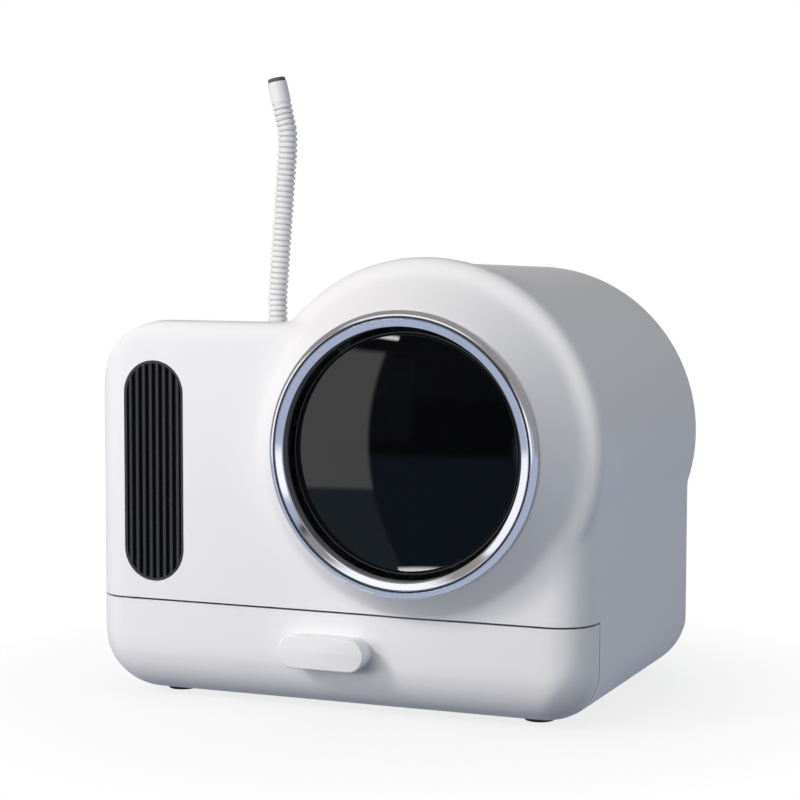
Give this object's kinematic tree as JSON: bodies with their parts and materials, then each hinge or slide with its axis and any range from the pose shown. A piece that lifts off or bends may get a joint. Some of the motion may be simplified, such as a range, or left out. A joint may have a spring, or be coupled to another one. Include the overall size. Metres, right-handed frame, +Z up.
{
  "type": "drawer litter box",
  "caption": "Enclosed cat litter box: a front drawer holds the litter tray, a round ringed mouth has a smoked swing flap, and a filter cartridge and vent hose air it.",
  "frame": {"origin": "on the floor, under the middle of the whole box without its vent hose", "axes": "+X to the object's right seen from the front, along its width; +Y back from the mouth; +Z up"},
  "size_m": [0.5115, 0.4204, 0.6078],
  "materials": {
    "shell_white": "satin injection-moulded ABS",
    "pull_white": "semi-gloss moulded ABS",
    "inner_grey": "plain moulded polypropylene",
    "screw_steel": "zinc-plated",
    "hinge_steel": "ground stainless",
    "magnet_nickel": "nickel-plated",
    "foot_rubber": "moulded rubber",
    "chrome_ring": "bright plated",
    "liner_black": "fine-textured black ABS",
    "flap_black": "gloss black ABS",
    "smoked_window": "smoked polished acrylic",
    "grille_black": "satin black ABS",
    "frame_black": "satin black ABS",
    "carbon_foam": "activated-carbon foam",
    "fan_black": "glass-filled nylon",
    "motor_steel": "coated steel can",
    "board_green": "solder-masked laminate",
    "inlet_black": "moulded nylon",
    "hose_white": "corrugated polyethylene",
    "tip_grey": "soft grey rubber"
  },
  "bodies": {
    "body": {"housing": "shell_white", "rear_cover": "shell_white", "cover_screws": "screw_steel", "divider_wall": "inner_grey", "compartment_shelf": "inner_grey", "litter_guard": "inner_grey", "base_plate": "inner_grey", "base_screws": "screw_steel", "feet": "foot_rubber", "left_runner": "inner_grey", "right_runner": "inner_grey", "mouth_liner": "liner_black", "liner_screws": "screw_steel", "bezel_ring": "chrome_ring", "trim_ring": "chrome_ring", "keeper_magnet": "magnet_nickel", "fan_housing": "fan_black", "fan_screws": "screw_steel", "fan_motor": "motor_steel", "control_board": "board_green", "dc_inlet": "inlet_black", "hose_collar": "hose_white", "vent_hose": "hose_white", "hose_cuff": "hose_white", "hose_tip": "tip_grey"},
    "drawer": {"drawer_tray": "inner_grey", "drawer_front": "shell_white", "tray_screws": "screw_steel", "drawer_pull": "pull_white", "pull_screws": "screw_steel"},
    "flap": {"flap_rim": "flap_black", "flap_window": "smoked_window", "flap_pins": "hinge_steel", "flap_magnet": "magnet_nickel"},
    "filter_cartridge": {"grille": "grille_black", "filter_frame": "frame_black", "carbon_pad": "carbon_foam"},
    "fan_rotor": {"fan_rotor": "fan_black"}
  },
  "joints": [
    {"name": "drawer_slide", "type": "slide", "parent": "body", "child": "drawer", "axis": [0, -1, 0], "range_m": [0, 0.28]},
    {"name": "flap_swing", "type": "hinge", "parent": "body", "child": "flap", "pos_m": [0.08125, -0.19065, 0.3465], "axis": [1, 0, 0], "range_deg": [-30, 60]},
    {"name": "cartridge_pull", "type": "slide", "parent": "body", "child": "filter_cartridge", "axis": [0, -1, 0], "range_m": [0, 0.06]},
    {"name": "fan_spin", "type": "hinge", "parent": "body", "child": "fan_rotor", "pos_m": [-0.12275, -0.00165, 0.239], "axis": [1, 0, 0], "continuous": true}
  ]
}
